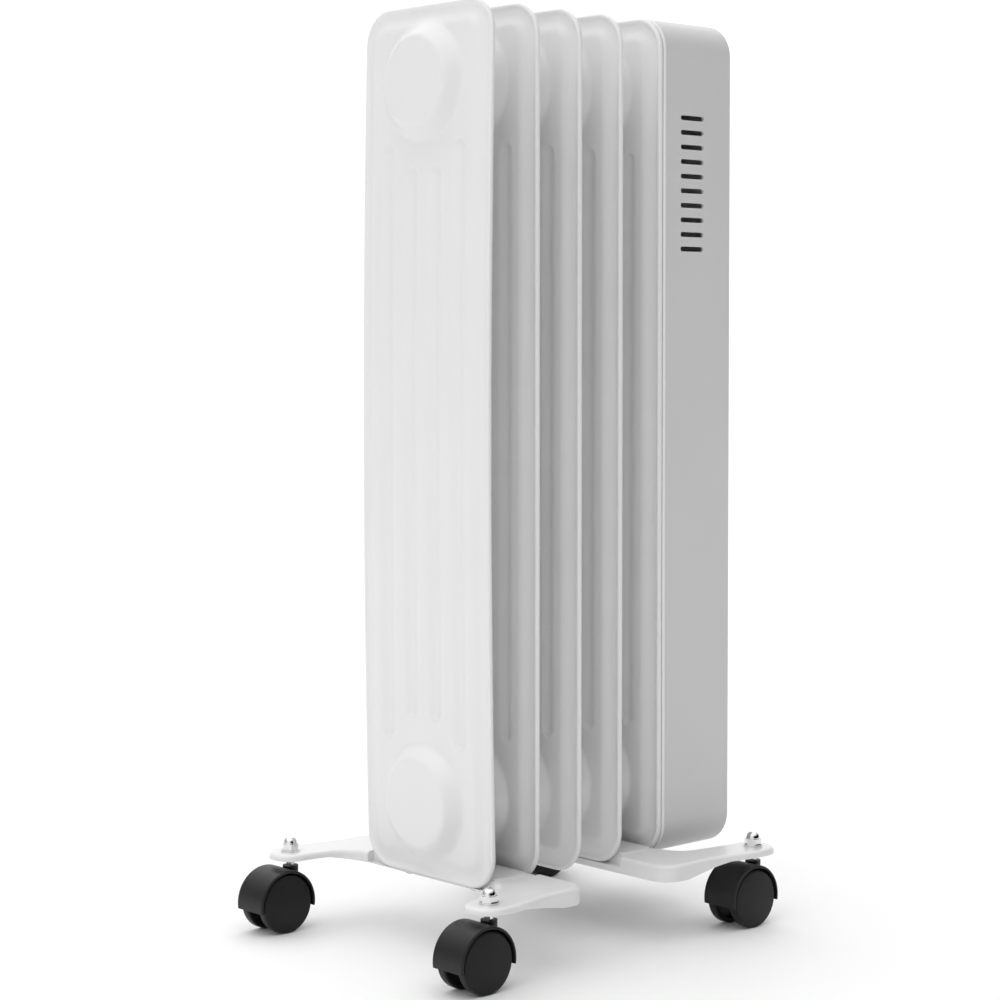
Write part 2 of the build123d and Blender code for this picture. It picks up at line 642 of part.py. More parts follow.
with BuildPart() as pilot_lens:
    with BuildSketch(end_plane(PANEL_BACK_X, 0, PILOT_Z)):
        Circle(PILOT_R)
    extrude(amount=PANEL_SPIGOT + PANEL_THICKNESS)
    with BuildSketch(end_plane(PANEL_FACE_X, 0, PILOT_Z)):
        Circle(PILOT_R + PILOT_WALL)
    extrude(amount=PILOT_RIM_HEIGHT, taper=PILOT_RIM_TAPER)
    with BuildSketch(end_plane(PANEL_BACK_X, 0, PILOT_Z)):
        Circle(PILOT_R - PILOT_WALL)
    extrude(amount=PANEL_SPIGOT + PANEL_THICKNESS - PILOT_WALL, mode=Mode.SUBTRACT)
save(pilot_lens.part, "pilot_lens")

with BuildPart() as pilot_lamp:
    with BuildSketch(end_plane(PANEL_BACK_X - PILOT_LAMP_TAIL, 0, PILOT_Z)):
        Circle(PILOT_LAMP_R)
    extrude(amount=PILOT_LAMP_LENGTH)
    fillet(pilot_lamp.edges().group_by(Axis.X)[-1], PILOT_LAMP_FILLET)
save(pilot_lamp.part, "pilot_lamp")

# ================================================================ heating and safety parts
with BuildPart() as element_gasket:
    with BuildSketch(end_plane(PLATE_BACK_X, 0, LOWER_HUB_Z)):
        Circle(OIL_PORT_R + GASKET_LAP)
        Circle(OIL_PORT_R, mode=Mode.SUBTRACT)
    extrude(amount=GASKET_THICKNESS)
save(element_gasket.part, "element_gasket")

flange_seat_x = PLATE_BACK_X + GASKET_THICKNESS
flange_back_x = flange_seat_x + FLANGE_HEX_HEIGHT
with BuildPart() as element_flange:
    with BuildSketch(end_plane(flange_seat_x, 0, LOWER_HUB_Z)):
        RegularPolygon(OIL_PORT_R + FLANGE_LAP, 6, major_radius=False)
    extrude(amount=FLANGE_HEX_HEIGHT)
    with BuildSketch(end_plane(flange_seat_x, 0, LOWER_HUB_Z)):
        Circle(OIL_PORT_R - FLANGE_SPIGOT_GAP)
    extrude(amount=-FLANGE_SPIGOT)
    with BuildSketch(end_plane(flange_back_x, 0, LOWER_HUB_Z)):
        with GridLocations(2 * ELEMENT_SPREAD, 2 * ELEMENT_SPREAD, 2, 2):
            Circle(ELEMENT_TUBE_R)
    extrude(amount=-FLANGE_HEX_HEIGHT - FLANGE_SPIGOT - 1, mode=Mode.SUBTRACT)
save(element_flange.part, "element_flange")

element_low_z = LOWER_HUB_Z - ELEMENT_SPREAD
element_high_z = LOWER_HUB_Z + ELEMENT_SPREAD
element_back_x = flange_back_x + ELEMENT_TAIL
element_tip_x = FIRST_FIN_X - ELEMENT_PAST_FIRST_FIN
element_bend_x = element_tip_x + ELEMENT_SPREAD
for name, y in (("low", -ELEMENT_SPREAD), ("high", ELEMENT_SPREAD)):
    with BuildPart() as element:
        with BuildLine() as hairpin:
            Line((element_back_x, y, element_low_z), (element_bend_x, y, element_low_z))
            ThreePointArc(
                (element_bend_x, y, element_low_z),
                (element_tip_x, y, LOWER_HUB_Z),
                (element_bend_x, y, element_high_z),
            )
            Line((element_bend_x, y, element_high_z), (element_back_x, y, element_high_z))
        with BuildSketch(end_plane(element_back_x, y, element_low_z)):
            Circle(ELEMENT_TUBE_R)
        sweep(path=hairpin.wires()[0])
        for z in (element_low_z, element_high_z):
            with BuildSketch(end_plane(element_back_x, y, z)):
                Circle(ELEMENT_PIN_R)
            extrude(amount=ELEMENT_PIN_LENGTH)
    save(element.part, f"heating_element_{name}")

with BuildPart() as fill_plug_seal:
    with BuildSketch(end_plane(PLATE_BACK_X, 0, UPPER_HUB_Z)):
        Circle(FILLER_PORT_R + PLUG_LAP)
        Circle(FILLER_PORT_R, mode=Mode.SUBTRACT)
    extrude(amount=PLUG_SEAL_THICKNESS)
save(fill_plug_seal.part, "fill_plug_seal")

with BuildPart() as fill_plug:
    plug_seat = end_plane(PLATE_BACK_X + PLUG_SEAL_THICKNESS, 0, UPPER_HUB_Z)
    with BuildSketch(plug_seat):
        RegularPolygon(FILLER_PORT_R + PLUG_LAP, 6, major_radius=False)
    extrude(amount=PLUG_HEX_HEIGHT)
    with BuildSketch(plug_seat):
        Circle(FILLER_PORT_R)
    extrude(amount=-PLUG_SHANK)
save(fill_plug.part, "fill_plug")

cutout_z = UPPER_HUB_Z - CUTOUT_BELOW_HUB
with BuildPart() as thermal_cutout:
    with BuildSketch(end_plane(PLATE_BACK_X, 0, cutout_z)):
        Circle(CUTOUT_BASE_R)
    extrude(amount=CUTOUT_STEP)
    with BuildSketch(end_plane(PLATE_BACK_X + CUTOUT_STEP, 0, cutout_z)):
        Circle(CUTOUT_CAP_R)
    extrude(amount=CUTOUT_STEP)
    with BuildSketch(end_plane(PLATE_BACK_X + CUTOUT_TAB_LEVEL, 0, cutout_z)):
        Rectangle(CUTOUT_TAB_LENGTH, CUTOUT_TAB_WIDTH)
    extrude(amount=TAB_THICKNESS)
save(thermal_cutout.part, "thermal_cutout")

terminal_z = FIN_BOTTOM_Z + TERMINAL_CENTRE_Z
wire_x = PLATE_BACK_X + TERMINAL_WIRE_LEVEL
with BuildPart() as terminal_block:
    with BuildSketch(end_plane(PLATE_BACK_X, 0, terminal_z)):
        Rectangle(TERMINAL_WIDTH, TERMINAL_HEIGHT)
    extrude(amount=TERMINAL_DEPTH)
    with BuildSketch(end_plane(PLATE_BACK_X + TERMINAL_DEPTH, 0, terminal_z)):
        with GridLocations(TERMINAL_PITCH, 1, 3, 1):
            Circle(TERMINAL_SCREW_R)
    extrude(amount=-TERMINAL_SCREW_DEPTH, mode=Mode.SUBTRACT)
    with BuildSketch(Plane.XY.offset(terminal_z - TERMINAL_HEIGHT / 2)):
        with Locations(*[(wire_x, n * TERMINAL_PITCH) for n in (-1, 0, 1)]):
            Circle(TERMINAL_WIRE_R)
    extrude(amount=TERMINAL_HEIGHT, mode=Mode.SUBTRACT)
save(terminal_block.part, "terminal_block")

tilt_pivot_z = FIN_BOTTOM_Z + TILT_PIVOT_HEIGHT
tilt_case_z = tilt_pivot_z - TILT_CASE_DROP
tilt_x = PLATE_BACK_X + TILT_CASE_DEPTH / 2
with BuildPart() as tilt_switch_case:
    with BuildSketch(end_plane(PLATE_BACK_X, 0, tilt_case_z)):
        RectangleRounded(TILT_CASE_WIDTH, TILT_CASE_HEIGHT, TILT_CASE_CORNER_R)
    extrude(amount=TILT_CASE_DEPTH)
    with BuildSketch(end_plane(PLATE_BACK_X + TILT_CASE_WALL, 0, tilt_case_z)):
        RectangleRounded(
            TILT_CASE_WIDTH - 2 * TILT_CASE_WALL,
            TILT_CASE_HEIGHT - 2 * TILT_CASE_WALL,
            TILT_CASE_WALL,
        )
    extrude(amount=TILT_CASE_DEPTH - 2 * TILT_CASE_WALL, mode=Mode.SUBTRACT)
    with BuildSketch(end_plane(PLATE_BACK_X + TILT_PIN_SOCKET, 0, tilt_pivot_z)):
        Circle(TILT_PIN_R + RUNNING_CLEARANCE)
    extrude(amount=TILT_CASE_DEPTH - 2 * TILT_PIN_SOCKET, mode=Mode.SUBTRACT)
save(tilt_switch_case.part, "tilt_switch_case")

with BuildPart() as tilt_pendulum:
    with BuildSketch(end_plane(tilt_x, 0, tilt_pivot_z)):
        Circle(TILT_PIN_R)
    extrude(amount=TILT_PIN_HALF_LENGTH, both=True)
    with BuildSketch(end_plane(tilt_x, 0, tilt_pivot_z)):
        Circle(BOB_HUB_R)
        with Locations((0, -BOB_DROP / 2)):
            Rectangle(BOB_ARM, BOB_DROP)
    extrude(amount=BOB_ARM_THICKNESS / 2, both=True)
    with BuildSketch(end_plane(tilt_x, 0, tilt_pivot_z - BOB_DROP)):
        Circle(BOB_R)
    extrude(amount=BOB_THICKNESS / 2, both=True)
save(tilt_pendulum.part, "tilt_pendulum")

# Insulated leads between the terminals, along straight runs with rounded corners.
lead_x = PLATE_BACK_X + LEAD_CLEARANCE
lead_top_x = PANEL_FACE_X - SWITCH_DEPTH - LEAD_TAB_GAP
element_pin_end_x = element_back_x + ELEMENT_PIN_LENGTH
lead_routes = []
for side in (-1, 1):
    lead_routes.append([
        (wire_x, side * TERMINAL_PITCH, terminal_z + 11),
        (lead_x, side * 26, terminal_z + 50),
        (lead_x, side * 26, SWITCH_Z - 50),
        (lead_top_x, side * SWITCH_Y, SWITCH_Z - 6),
    ])
    lead_routes.append([
        (element_pin_end_x + 2, side * ELEMENT_SPREAD, element_high_z),
        (lead_x + 8, side * 36, LOWER_HUB_Z + 60),
        (lead_x + 2, side * 36, SWITCH_Z - 40),
        (lead_top_x, side * SWITCH_Y, SWITCH_Z + 1),
    ])
with BuildPart() as internal_leads:
    for points in lead_routes:
        with BuildLine() as route:
            FilletPolyline(*points, radius=[LEAD_BEND_R] * (len(points) - 2))
        start = route.wires()[0]
        with BuildSketch(Plane(origin=start @ 0, z_dir=start % 0)):
            Circle(LEAD_R)
        sweep(path=start)
save(internal_leads.part, "internal_leads")


# ================================================================ legs
def leg_outline(leg_x, toward, bolt_reach, shoulder_r, inset):
    """Plan of a leg, moved in by inset: a bar under two fins with an arm to each bolt."""
    arm_y = BOLT_Y + LEG_END_R
    end_x = bolt_reach + LEG_END_R
    neck_y = BOLT_Y - LEG_END_R
    half = [
        (-LEG_INNER_REACH, 0, 0),
        (-LEG_INNER_REACH, LEG_HALF_LENGTH, 14),
        (bolt_reach - 45, LEG_HALF_LENGTH, 60),
        (bolt_reach - 14, arm_y, 30),
        (end_x, arm_y, LEG_END_R),
        (end_x, neck_y, LEG_END_R - 0.5),
        (bolt_reach - 10, neck_y - 1.5, 60),
        (LEG_MIDDLE_REACH, neck_y - 8, shoulder_r),
        (LEG_MIDDLE_REACH, 0, 0),
    ]
    points = [(leg_x + toward * u, v) for u, v, _ in half]
    with BuildSketch() as plan:
        with BuildLine():
            FilletPolyline(*points, radius=[r for _, _, r in half[1:-1]])
            mirror(about=Plane.XZ)
        make_face()
        if inset:
            offset(amount=-inset)
    return plan.sketch


def leg(label, leg_x, toward, bolt_reach, shoulder_r):
    """One pressed steel leg, hollow underneath, with ledges under two fins."""
    bottom = Plane.XY.offset(FIN_BOTTOM_Z + LEG_BOTTOM)
    ledge_z = FIN_BOTTOM_Z
    height = LEG_TOP - LEG_BOTTOM
    bolt_x = leg_x + toward * bolt_reach
    outline = leg_outline(leg_x, toward, bolt_reach, shoulder_r, 0)
    hollow = leg_outline(leg_x, toward, bolt_reach, shoulder_r, LEG_SHEET)
    with BuildPart() as piece:
        with BuildSketch(bottom):
            add(outline)
        extrude(amount=height)
        fillet(piece.edges().group_by(Axis.Z)[-1], LEG_EDGE_R)
        # the arms' skirt is shallower than the middle's
        with BuildSketch(side_plane(leg_x, 0, FIN_BOTTOM_Z)):
            with BuildLine():
                Polyline(
                    (toward * 0, LEG_BOTTOM - 1),
                    (toward * 0, LEG_BOTTOM),
                    (toward * 40, LEG_ARM_BOTTOM),
                    (toward * 120, LEG_ARM_BOTTOM),
                    (toward * 120, LEG_BOTTOM - 1),
                    close=True,
                )
            make_face()
        extrude(amount=2 * BOLT_Y, both=True, mode=Mode.SUBTRACT)
        # two ledges that the fins' lower ends stand on, and the ridge between them
        with BuildSketch(Plane.XY.offset(ledge_z)):
            with Locations((leg_x, 0)):
                Rectangle(4 * LEG_INNER_REACH, 2 * LEG_NOTCH_HALF_LENGTH)
                Rectangle(2 * LEG_RIDGE_HALF_WIDTH, 4 * LEG_NOTCH_HALF_LENGTH, mode=Mode.SUBTRACT)
        extrude(amount=2 * LEG_TOP, mode=Mode.SUBTRACT)
        with BuildSketch(Plane.XY.offset(LEG_TOP_Z)):
            with Locations((leg_x, 0)):
                RectangleRounded(2 * LEG_RIDGE_HALF_WIDTH - 2, 2 * LEG_NOTCH_HALF_LENGTH - 8, 5)
        extrude(amount=LEG_RIDGE - LEG_TOP, taper=30)
        # hollow underneath, following the ledges and the ridge
        with BuildSketch(bottom):
            add(hollow)
        extrude(amount=-LEG_BOTTOM - LEG_SHEET, mode=Mode.SUBTRACT)
        with BuildSketch(bottom):
            add(hollow)
            with Locations((leg_x, 0)):
                Rectangle(
                    4 * LEG_INNER_REACH,
                    2 * (LEG_NOTCH_HALF_LENGTH + LEG_SHEET),
                    mode=Mode.SUBTRACT,
                )
        extrude(amount=height - LEG_SHEET, mode=Mode.SUBTRACT)
        with BuildSketch(bottom):
            with Locations((leg_x, 0)):
                Rectangle(
                    2 * (LEG_RIDGE_HALF_WIDTH - LEG_SHEET),
                    2 * (LEG_NOTCH_HALF_LENGTH + LEG_SHEET) + 1,
                )
        extrude(amount=height - LEG_SHEET, mode=Mode.SUBTRACT)
        with BuildSketch(bottom):
            with Locations((bolt_x, BOLT_Y), (bolt_x, -BOLT_Y)):
                Circle(STEM_R)
            with Locations((leg_x, U_BOLT_CENTRE_R), (leg_x, -U_BOLT_CENTRE_R)):
                Circle(U_BOLT_R)
        extrude(amount=2 * height, mode=Mode.SUBTRACT)
    save(piece.part, label)


leg("front_leg", FRONT_LEG_X, -1, FRONT_BOLT_REACH, 26)
leg("rear_leg", REAR_LEG_X, 1, REAR_BOLT_REACH, 17)

u_bolt_bottom_z = FIN_BOTTOM_Z - U_BOLT_BELOW_FINS
with BuildPart() as leg_u_bolts:
    for leg_x in (FRONT_LEG_X, REAR_LEG_X):
        with BuildLine() as bow:
            Line((leg_x, -U_BOLT_CENTRE_R, u_bolt_bottom_z), (leg_x, -U_BOLT_CENTRE_R, LOWER_HUB_Z))
            ThreePointArc(
                (leg_x, -U_BOLT_CENTRE_R, LOWER_HUB_Z),
                (leg_x, 0, LOWER_HUB_Z + U_BOLT_CENTRE_R),
                (leg_x, U_BOLT_CENTRE_R, LOWER_HUB_Z),
            )
            Line((leg_x, U_BOLT_CENTRE_R, LOWER_HUB_Z), (leg_x, U_BOLT_CENTRE_R, u_bolt_bottom_z))
        with BuildSketch(Plane.XY.offset(u_bolt_bottom_z)):
            with Locations((leg_x, -U_BOLT_CENTRE_R)):
                Circle(U_BOLT_R)
        sweep(path=bow.wires()[0])
save(leg_u_bolts.part, "leg_u_bolts")

wing_top_z = LEG_TOP_Z - LEG_SHEET
with BuildPart() as leg_wing_nuts:
    for leg_x in (FRONT_LEG_X, REAR_LEG_X):
        for y in (-U_BOLT_CENTRE_R, U_BOLT_CENTRE_R):
            with BuildSketch(Plane.XY.offset(wing_top_z)):
                with Locations((leg_x, y)):
                    Circle(WING_HUB_R)
            extrude(amount=-WING_HUB_HEIGHT)
            with BuildSketch(side_plane(leg_x, y, wing_top_z - WING_DROP)):
                with Locations(*WING_CENTRES):
                    SlotOverall(WING_LENGTH, WING_WIDTH)
            extrude(amount=WING_HALF_THICKNESS, both=True)
            with BuildSketch(Plane.XY.offset(wing_top_z)):
                with Locations((leg_x, y)):
                    Circle(U_BOLT_R)
            extrude(amount=-2 * WING_LENGTH, mode=Mode.SUBTRACT)
save(leg_wing_nuts.part, "leg_wing_nuts")

# ================================================================ caster fixings
washer_z = LEG_TOP_Z
nut_z = washer_z + WASHER_THICKNESS
collar_top_z = LEG_TOP_Z - LEG_SHEET
with BuildPart() as caster_washers:
    with BuildSketch(Plane.XY.offset(washer_z)):
        with Locations(*BOLT_PLACES):
            Circle(WASHER_R)
            Circle(STEM_R, mode=Mode.SUBTRACT)
    extrude(amount=WASHER_THICKNESS)
save(caster_washers.part, "caster_washers")

with BuildPart() as caster_cap_nuts:
    with BuildSketch(Plane.XY.offset(nut_z)):
        with Locations(*BOLT_PLACES):
            RegularPolygon(NUT_ACROSS_FLATS / 2, 6, major_radius=False)
    extrude(amount=NUT_HEX_HEIGHT)
    dome_r = cap_radius(NUT_DOME_R, NUT_HEIGHT - NUT_DOME_START)
    dome_span = degrees(asin(NUT_DOME_R / dome_r))
    for x, y in BOLT_PLACES:
        with BuildSketch(side_plane(x, y, nut_z)):
            with BuildLine():
                Polyline(
                    (0, NUT_HEIGHT),
                    (0, NUT_HEX_HEIGHT),
                    (NUT_DOME_R, NUT_HEX_HEIGHT),
                    (NUT_DOME_R, NUT_DOME_START),
                )
                CenterArc((0, NUT_HEIGHT - dome_r), dome_r, 90 - dome_span, dome_span)
            make_face()
        revolve(axis=Axis((x, y, 0), (0, 0, 1)))
    with BuildSketch(Plane.XY.offset(nut_z)):
        with Locations(*BOLT_PLACES):
            Circle(STEM_R)
    extrude(amount=NUT_BORE, mode=Mode.SUBTRACT)
save(caster_cap_nuts.part, "caster_cap_nuts")

with BuildPart() as caster_stems:
    with BuildSketch(Plane.XY.offset(STEM_BOTTOM_Z)):
        with Locations(*BOLT_PLACES):
            Circle(STEM_R)
    extrude(amount=nut_z + NUT_BORE - STEM_END_GAP - STEM_BOTTOM_Z)
    with BuildSketch(Plane.XY.offset(collar_top_z)):
        with Locations(*BOLT_PLACES):
            RegularPolygon(NUT_ACROSS_FLATS / 2, 6, major_radius=False)
    extrude(amount=-COLLAR_HEIGHT)
save(caster_stems.part, "caster_stems")


# ================================================================ casters
def caster_hood(label, stem_x, stem_y):
    """Hood over both wheels, with the web between them, the neck and the stem's socket."""
    centre = side_plane(stem_x - TRAIL, stem_y, AXLE_Z)
    neck_bottom_z = AXLE_Z + WEB_BOSS_WALL
    with BuildPart() as hood:
        with BuildSketch(centre):
            Circle(HOOD_R)
            with Locations((0, -HOOD_SKIRT - HOOD_R)):
                Rectangle(3 * HOOD_R, 2 * HOOD_R, mode=Mode.SUBTRACT)
        extrude(amount=HOOD_HALF_WIDTH, both=True)
        rounded = hood.edges().filter_by(GeomType.CIRCLE)
        fillet(rounded, HOOD_EDGE_R)
        with BuildSketch(centre):
            Circle(HOOD_R - HOOD_THICKNESS)
        extrude(amount=2 * HOOD_HALF_WIDTH, both=True, mode=Mode.SUBTRACT)
        with BuildSketch(centre):
            Circle(HOOD_R - HOOD_THICKNESS / 2)
            with Locations((0, -HOOD_R)):
                Rectangle(3 * HOOD_R, 2 * HOOD_R, mode=Mode.SUBTRACT)
            Circle(AXLE_R + WEB_BOSS_WALL)
        extrude(amount=HOOD_WEB_HALF, both=True)
        with BuildSketch(Plane.XY.offset(neck_bottom_z)):
            with Locations((stem_x, stem_y)):
                Circle(NECK_R)
        extrude(amount=NECK_TOP_Z - neck_bottom_z)
        with BuildSketch(Plane.XY.offset(NECK_TOP_Z)):
            with Locations((stem_x, stem_y)):
                Circle(STEM_R + RUNNING_CLEARANCE)
        extrude(amount=STEM_BOTTOM_Z - STEM_FOOT_GAP - NECK_TOP_Z, mode=Mode.SUBTRACT)
        with BuildSketch(centre):
            Circle(AXLE_R)
        extrude(amount=HOOD_HALF_WIDTH, both=True, mode=Mode.SUBTRACT)
    save(hood.part, label)


def caster_wheel(label, axle_x, middle_y, outward):
    """One wheel half, solid outside with a slight dome and hollow towards the web."""
    tread = Plane(origin=(axle_x, middle_y, AXLE_Z), x_dir=(0, outward, 0), z_dir=(outward, 0, 0))
    bore_r = AXLE_R + RUNNING_CLEARANCE
    rim_r = WHEEL_R - WHEEL_RIM
    face_edge_r = WHEEL_R - WHEEL_EDGE
    disc_in = WHEEL_OUTER_FACE - WHEEL_DISC
    bore_end = AXLE_HALF_LENGTH + AXLE_END_GAP
    face_r = cap_radius(face_edge_r, WHEEL_DOME)
    face_middle = WHEEL_OUTER_FACE + WHEEL_DOME
    face_span = degrees(asin(face_edge_r / face_r))
    with BuildPart() as wheel:
        with BuildSketch(tread):
            with BuildLine():
                Polyline(
                    (face_middle, 0),
                    (bore_end, 0),
                    (bore_end, bore_r),
                    (WHEEL_INNER_FACE, bore_r),
                    (WHEEL_INNER_FACE, WHEEL_HUB_R),
                    (disc_in, WHEEL_HUB_R),
                    (disc_in, rim_r),
                    (WHEEL_INNER_FACE, rim_r),
                    (WHEEL_INNER_FACE, face_edge_r),
                    (WHEEL_INNER_FACE + WHEEL_EDGE, WHEEL_R),
                    (WHEEL_OUTER_FACE - WHEEL_EDGE, WHEEL_R),
                    (WHEEL_OUTER_FACE, face_edge_r),
                )
                CenterArc((face_middle - face_r, 0), face_r, 0, face_span)
            make_face()
        revolve(axis=Axis((axle_x, middle_y, AXLE_Z), (0, 1, 0)))
    save(wheel.part, label)


for place, (stem_x, stem_y) in CASTER_PLACES.items():
    axle_x = stem_x - TRAIL
    out = 1 if stem_y > 0 else -1
    caster_hood(f"caster_{place}_hood", stem_x, stem_y)
    with BuildPart() as axle:
        with BuildSketch(side_plane(axle_x, stem_y, AXLE_Z)):
            Circle(AXLE_R)
        extrude(amount=AXLE_HALF_LENGTH, both=True)
    save(axle.part, f"caster_{place}_axle")
    caster_wheel(f"caster_{place}_wheel_outer", axle_x, stem_y, out)
    caster_wheel(f"caster_{place}_wheel_inner", axle_x, stem_y, -out)
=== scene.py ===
import json
import math

import bmesh
import bpy
import numpy as np
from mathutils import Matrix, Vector


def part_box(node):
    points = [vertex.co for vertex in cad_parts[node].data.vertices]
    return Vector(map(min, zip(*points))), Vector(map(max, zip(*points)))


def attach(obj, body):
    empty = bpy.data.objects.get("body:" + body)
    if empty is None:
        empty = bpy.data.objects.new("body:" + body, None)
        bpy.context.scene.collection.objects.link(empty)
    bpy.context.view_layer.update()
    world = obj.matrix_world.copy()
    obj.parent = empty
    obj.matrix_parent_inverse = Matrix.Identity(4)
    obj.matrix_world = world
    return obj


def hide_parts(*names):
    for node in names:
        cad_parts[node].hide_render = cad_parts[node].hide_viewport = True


# Oil filled radiator heater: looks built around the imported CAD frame, in metres.

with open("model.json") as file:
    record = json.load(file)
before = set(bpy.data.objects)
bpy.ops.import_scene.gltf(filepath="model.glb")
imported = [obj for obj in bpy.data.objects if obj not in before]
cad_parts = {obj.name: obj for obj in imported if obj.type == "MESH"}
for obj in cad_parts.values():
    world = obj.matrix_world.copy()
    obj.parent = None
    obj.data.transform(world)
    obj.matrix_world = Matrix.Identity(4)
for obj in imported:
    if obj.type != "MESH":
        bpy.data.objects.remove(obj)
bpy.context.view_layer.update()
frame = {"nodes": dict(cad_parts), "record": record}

MM = 0.001
FIN_COUNT = 5
CASTER_PLACES = ("front_left", "front_right", "rear_left", "rear_right")
WHEEL_SIDES = ("outer", "inner")


# ================================================================ places, from the frame
fin_low, fin_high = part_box("fin_2_front_shell")
FIN_WIDTH = fin_high.y - fin_low.y
FIN_HEIGHT = fin_high.z - fin_low.z
FIN_MIDDLE_Z = (fin_high.z + fin_low.z) / 2
seams = [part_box(f"fin_{n}_front_shell")[1].x for n in range(1, FIN_COUNT + 1)]
END_RISE = seams[0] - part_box("fin_1_front_shell")[0].x
MIDDLE_RISE = (seams[1] - seams[0]) / 2


# ================================================================ mesh helpers
def mesh_from(name, points, faces, crease=None):
    """A smooth mesh from points and faces, sharp at edges above the crease angle."""
    mesh = bpy.data.meshes.new(name)
    mesh.from_pydata([tuple(p) for p in points], [], [tuple(f) for f in faces])
    mesh.validate()
    working = bmesh.new()
    working.from_mesh(mesh)
    bmesh.ops.recalc_face_normals(working, faces=working.faces)
    working.to_mesh(mesh)
    working.free()
    mesh.polygons.foreach_set("use_smooth", [True] * len(mesh.polygons))
    if crease is not None:
        mesh.set_sharp_from_angle(angle=math.radians(crease))
    return mesh


def place(name, mesh, material, body, location=(0, 0, 0)):
    """Puts a mesh in the scene as a piece of the object that rides on a body."""
    piece = bpy.data.objects.new(name, mesh)
    bpy.context.scene.collection.objects.link(piece)
    piece.location = location
    if not mesh.materials:
        mesh.materials.append(material)
    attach(piece, body)
    return piece


def lathe(name, profile, segments, crease=30):
    """A mesh turned about Y from (y, radius) points. A radius of 0 closes the end in a point."""
    points = []
    rows = []
    for y, radius in profile:
        steps = 1 if radius == 0 else segments
        rows.append([len(points) + k for k in range(steps)])
        for k in range(steps):
            turn = 2 * math.pi * k / segments
            points.append((radius * math.cos(turn), y, radius * math.sin(turn)))
    faces = []
    for row, following in zip(rows, rows[1:]):
        for k in range(segments):
            corners = [
                row[k % len(row)],
                row[(k + 1) % len(row)],
                following[(k + 1) % len(following)],
                following[k % len(following)],
            ]
            faces.append(list(dict.fromkeys(corners)))
    return mesh_from(name, points, faces, crease)


def arc(middle, radius, start, end, steps):
    """Points along an arc, with angles in degrees."""
    turns = np.radians(np.linspace(start, end, steps))
    return [(middle[0] + radius * math.cos(t), middle[1] + radius * math.sin(t)) for t in turns]


def rounded_outline(half_y, half_z, radius, corner_steps):
    """Points of an upright rounded rectangle and the way out of it at each, as (y, z) rows."""
    places = []
    outward = []
    for quarter, (side_y, side_z) in enumerate(((1, 1), (-1, 1), (-1, -1), (1, -1))):
        for turn in np.radians(np.linspace(0, 90, corner_steps) + 90 * quarter):
            way = np.array((math.cos(turn), math.sin(turn)))
            corner = np.array((side_y * (half_y - radius), side_z * (half_z - radius)))
            places.append(corner + radius * way)
            outward.append(way)
    return np.array(places), np.array(outward)


def smooth_max(a, b, softness):
    """Larger of two, with the crease between them rounded."""
    return 0.5 * (a + b + np.sqrt((a - b) ** 2 + softness**2))


def smooth_min(a, b, softness):
    """Smaller of two, with the crease between them rounded."""
    return 0.5 * (a + b - np.sqrt((a - b) ** 2 + softness**2))


def smooth_step(t):
    """0 below 0 and 1 above 1, with a soft start and end."""
    t = np.clip(t, 0, 1)
    return t * t * (3 - 2 * t)


# ================================================================ materials
NOISE_LOW = 0.3  # where a noise's lowest and highest usual values lie
NOISE_HIGH = 0.7
ENAMEL_DRIFT_SCALE = 14.0
ENAMEL_GLOSS_SCALE = 60.0
ENAMEL_DARKER = 0.985
ENAMEL_COAT_ROUGHNESS = 0.18
ENAMEL_SMOOTHER, ENAMEL_ROUGHER = 0.03, 0.04
PLASTIC_DRIFT_SCALE = 40.0
PLASTIC_GLOSS_SCALE = 120.0
PLASTIC_LIGHTER = 1.03
PLASTIC_LIFT = 0.001
PLASTIC_SMOOTHER, PLASTIC_ROUGHER = 0.04, 0.06
METAL_DRIFT_SCALE = 90.0
METAL_DARKER = 0.86
METAL_SMOOTHER, METAL_ROUGHER = 0.05, 0.08
SMOOTHEST_METAL = 0.03
AMBER_TRANSMISSION = 0.5
AMBER_IOR = 1.49
FLOOR_COLOUR = (0.9, 0.9, 0.9)
FLOOR_ROUGHNESS = 0.7


def shader(name, colour, roughness, metallic=0.0, coat=0.0, coat_roughness=0.1):
    """A Principled material with constant values on the shader's own sockets."""
    material = bpy.data.materials.new(name)
    material.use_nodes = True
    tree = material.node_tree
    surface = tree.nodes["Principled BSDF"]
    surface.inputs["Base Color"].default_value = (*colour, 1)
    surface.inputs["Roughness"].default_value = roughness
    surface.inputs["Metallic"].default_value = metallic
    surface.inputs["Coat Weight"].default_value = coat
    surface.inputs["Coat Roughness"].default_value = coat_roughness
    return material, tree, surface


def noise(tree, scale, detail=3.0, stretch=(1, 1, 1)):
    """Noise in object space. scale is in waves per metre."""
    where = tree.nodes.new("ShaderNodeTexCoord")
    mapping = tree.nodes.new("ShaderNodeMapping")
    mapping.inputs["Scale"].default_value = stretch
    texture = tree.nodes.new("ShaderNodeTexNoise")
    texture.inputs["Scale"].default_value = scale
    texture.inputs["Detail"].default_value = detail
    tree.links.new(where.outputs["Object"], mapping.inputs["Vector"])
    tree.links.new(mapping.outputs["Vector"], texture.inputs["Vector"])
    return texture.outputs["Fac"]


def vary_colour(tree, surface, source, dark, light):
    """Base colour that drifts between two colours."""
    ramp = tree.nodes.new("ShaderNodeValToRGB")
    ramp.color_ramp.elements[0].position = NOISE_LOW
    ramp.color_ramp.elements[0].color = (*dark, 1)
    ramp.color_ramp.elements[1].position = NOISE_HIGH
    ramp.color_ramp.elements[1].color = (*light, 1)
    tree.links.new(source, ramp.inputs["Fac"])
    tree.links.new(ramp.outputs["Color"], surface.inputs["Base Color"])


